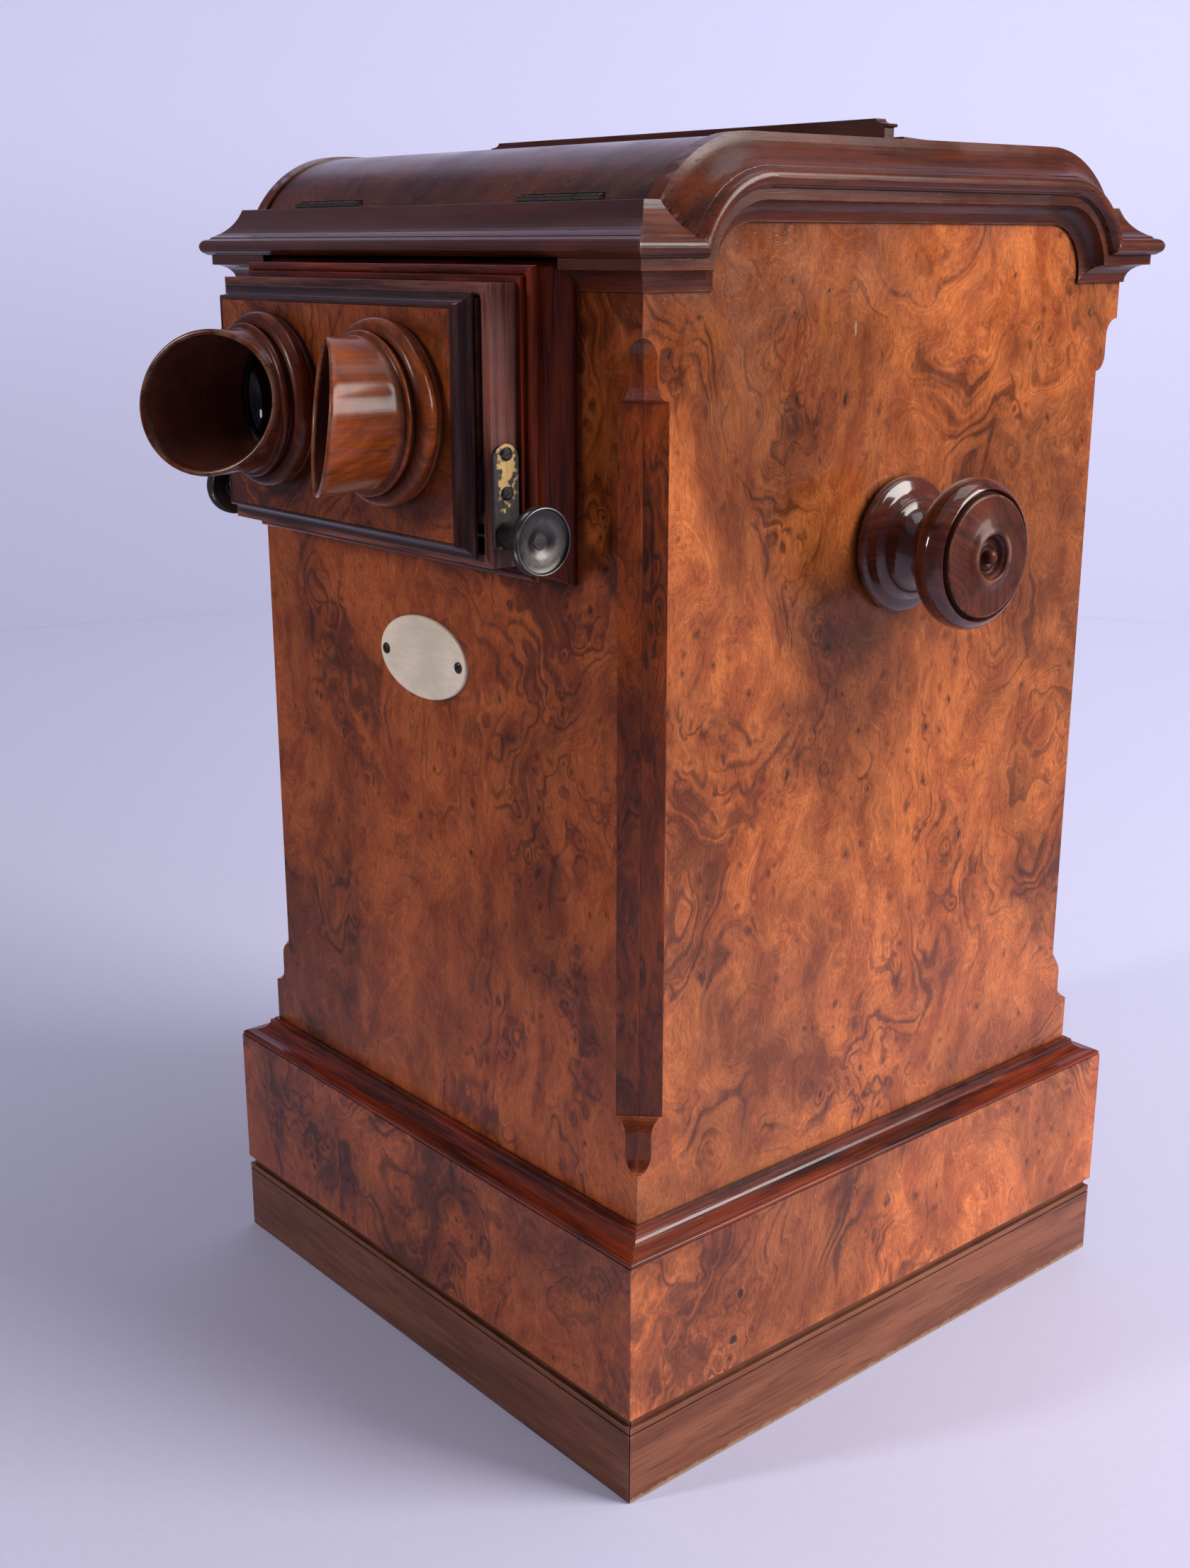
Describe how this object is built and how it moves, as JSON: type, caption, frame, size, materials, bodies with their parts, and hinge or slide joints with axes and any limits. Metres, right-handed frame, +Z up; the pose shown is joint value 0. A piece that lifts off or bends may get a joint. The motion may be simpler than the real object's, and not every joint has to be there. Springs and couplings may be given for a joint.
{
  "type": "revolving table stereoscope",
  "caption": "Tall veneered table cabinet with a pair of hooded lenses on a focusing box, hand knobs that turn a band of stereo cards, and two curved light lids.",
  "frame": {"origin": "centre of the underside, on the surface it stands on", "axes": "+Z up, -Y towards the viewer at the eyepieces, +X to the right as the viewer faces it from the front"},
  "size_m": [0.3142, 0.3257, 0.4573],
  "materials": {
    "burr_walnut": "french polished veneer",
    "dark_walnut": "french polished moulding",
    "red_walnut": "polished straight grain",
    "lid_walnut": "polished straight grain",
    "raw_wood": "unfinished",
    "black_wood": "blackened",
    "turned_walnut": "polished turned wood",
    "brass": "worn and tarnished",
    "bronzed_brass": "dark bronzed",
    "steel": "dull",
    "dark_steel": "blued",
    "ivory": "aged, satin",
    "lens_glass": "polished",
    "mirror_glass": "silvered",
    "cloth_tape": "woven",
    "tin": "folded sheet",
    "card": "matt pasteboard"
  },
  "bodies": {
    "cabinet": {"base_board": "raw_wood", "skirt_front": "red_walnut", "skirt_back": "red_walnut", "skirt_left": "red_walnut", "skirt_right": "red_walnut", "plinth_front": "burr_walnut", "plinth_back": "burr_walnut", "plinth_left": "burr_walnut", "plinth_right": "burr_walnut", "plinth_moulding_front": "dark_walnut", "plinth_moulding_back": "dark_walnut", "plinth_moulding_left": "dark_walnut", "plinth_moulding_right": "dark_walnut", "front_panel": "burr_walnut", "back_panel": "burr_walnut", "left_panel": "burr_walnut", "right_panel": "burr_walnut", "corner_blocks": "raw_wood", "cornice_front": "dark_walnut", "cornice_back": "dark_walnut", "cornice_left": "dark_walnut", "cornice_right": "dark_walnut", "top_rails": "raw_wood", "hinge_fixed_leaves": "bronzed_brass", "hinge_pins": "steel", "lens_frame": "dark_walnut", "lens_box": "red_walnut", "slide_runners": "raw_wood", "bearing_plates": "brass", "plate_screws": "dark_steel", "plaque": "ivory", "plaque_screws": "dark_steel", "septum": "black_wood", "axle_bushes": "brass", "card_tapes": "cloth_tape", "card_holders": "tin", "cards": "card"},
    "front_lid": {"front_lid": "lid_walnut", "lid_strip": "dark_walnut", "lid_mirror": "mirror_glass", "mirror_cleats": "dark_walnut", "front_lid_leaves": "bronzed_brass"},
    "rear_lid": {"rear_lid": "lid_walnut", "rear_lid_leaves": "bronzed_brass"},
    "lens_slide": {"slide_tray": "black_wood", "lens_panel": "burr_walnut", "panel_moulding": "dark_walnut", "eyepiece_left": "turned_walnut", "eyepiece_right": "turned_walnut", "lenses": "lens_glass", "lens_rings": "black_wood", "racks": "brass"},
    "focus_shaft": {"pinion_shaft": "steel", "pinions": "brass", "focus_knobs": "bronzed_brass"},
    "card_roller": {"axle": "steel", "roller": "raw_wood", "turning_knobs": "turned_walnut"}
  },
  "joints": [
    {"name": "front_lid_hinge", "type": "hinge", "parent": "cabinet", "child": "front_lid", "pos_m": [0, -0.11005, 0.431], "axis": [1, 0, 0], "range_deg": [0, 100]},
    {"name": "rear_lid_hinge", "type": "hinge", "parent": "cabinet", "child": "rear_lid", "pos_m": [0, 0.11005, 0.431], "axis": [-1, 0, 0], "range_deg": [0, 100]},
    {"name": "lens_focus", "type": "slide", "parent": "cabinet", "child": "lens_slide", "axis": [0, -1, 0], "range_m": [0, 0.0157]},
    {"name": "focus_turn", "type": "hinge", "parent": "cabinet", "child": "focus_shaft", "pos_m": [0, -0.1425, 0.331], "axis": [1, 0, 0], "range_deg": [0, 180]},
    {"name": "card_turn", "type": "hinge", "parent": "cabinet", "child": "card_roller", "pos_m": [0, 0, 0.3185], "axis": [1, 0, 0], "continuous": true}
  ],
  "couplings": [
    {"joint": "focus_turn", "follows": "lens_focus", "rad_per_m": 200}
  ]
}
